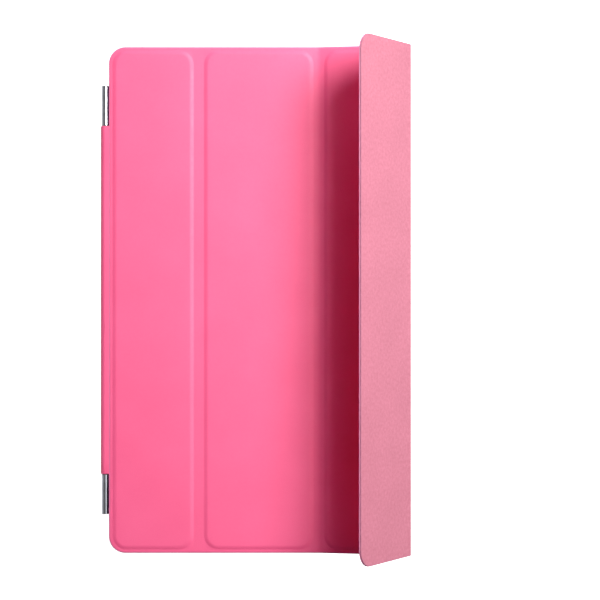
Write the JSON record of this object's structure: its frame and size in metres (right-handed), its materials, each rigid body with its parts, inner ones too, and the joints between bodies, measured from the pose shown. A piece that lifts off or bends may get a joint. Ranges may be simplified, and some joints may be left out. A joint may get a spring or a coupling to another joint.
{
  "type": "tablet case",
  "caption": "Folding front cover for a tablet: padded panels joined by soft folds, with a magnetic metal hinge bar that clips to the tablet's side.",
  "frame": {"origin": "centre of the hinge bar's flat contact face, where it meets the middle of the tablet's long left side", "axes": "+X from the hinge across the screen, +Y along the hinge, +Z out of the screen towards the viewer; the screen's surface is at z = 0.006"},
  "size_m": [0.1472, 0.2416, 0.0539],
  "materials": {
    "cover_skin": "soft moulded polyurethane skin, fine grain, satin",
    "lining": "matte brushed microfibre",
    "aluminium": "polished and anodised",
    "steel": "brushed",
    "magnet": "nickel plated",
    "board": "glass-fibre board, matte",
    "nylon": "natural nylon, smooth"
  },
  "bodies": {
    "hinge": {"connecting_rod": "steel", "contact_strip": "steel", "hinge_bar": "aluminium", "hinge_magnet_1": "magnet", "hinge_magnet_2": "magnet", "hinge_magnet_3": "magnet", "hinge_magnet_4": "magnet", "hinge_magnet_5": "magnet", "hinge_magnet_6": "magnet", "hinge_magnet_7": "magnet", "hinge_magnet_8": "magnet", "hinge_magnet_9": "magnet", "hinge_magnet_10": "magnet", "lower_dowel": "steel", "lower_lug": "aluminium", "spine_cover": "cover_skin", "upper_dowel": "steel", "upper_lug": "aluminium"},
    "spine": {"hinge_sleeve": "cover_skin", "lining_spine": "lining", "sleeve_core": "nylon"},
    "panel_a": {"lining_a": "lining", "lining_fold_1": "lining", "outer_skin_a": "cover_skin", "skin_fold_1": "cover_skin", "stand_plate": "steel", "stiffener_a": "board"},
    "panel_b": {"lining_b": "lining", "lining_fold_2": "lining", "outer_skin_b": "cover_skin", "skin_fold_2": "cover_skin", "stiffener_b": "board"},
    "panel_c": {"lining_c": "lining", "lining_fold_3": "lining", "outer_skin_c": "cover_skin", "skin_fold_3": "cover_skin", "stiffener_c": "board"},
    "panel_d": {"edge_magnet_1": "magnet", "edge_magnet_2": "magnet", "edge_magnet_3": "magnet", "edge_magnet_4": "magnet", "edge_magnet_5": "magnet", "edge_magnet_6": "magnet", "edge_magnet_7": "magnet", "edge_magnet_8": "magnet", "edge_magnet_9": "magnet", "edge_magnet_10": "magnet", "lining_d": "lining", "outer_skin_d": "cover_skin", "sleep_magnet": "magnet", "stiffener_d": "board"}
  },
  "joints": [
    {"name": "cover_turn", "type": "hinge", "parent": "hinge", "child": "spine", "pos_m": [-0.0024, 0, 0.00495], "axis": [0, 1, 0], "range_deg": [-160, 0]},
    {"name": "spine_fold", "type": "hinge", "parent": "spine", "child": "panel_a", "pos_m": [0.00095, 0, 0.00735], "axis": [0, 1, 0], "range_deg": [-110, 0]},
    {"name": "first_fold", "type": "hinge", "parent": "panel_a", "child": "panel_b", "pos_m": [0.0424, 0, 0.00825], "axis": [0, -1, 0], "range_deg": [0, 175], "deforming": ["skin_fold_1", "lining_fold_1"]},
    {"name": "second_fold", "type": "hinge", "parent": "panel_b", "child": "panel_c", "pos_m": [0.09955, 0, 0.00825], "axis": [0, -1, 0], "range_deg": [-9, 110], "deforming": ["skin_fold_2", "lining_fold_2"]},
    {"name": "third_fold", "type": "hinge", "parent": "panel_c", "child": "panel_d", "pos_m": [0.14079, 0, 0.01478], "axis": [0, 1, 0], "range_deg": [-58.5, 116.5], "deforming": ["skin_fold_3", "lining_fold_3"]}
  ]
}
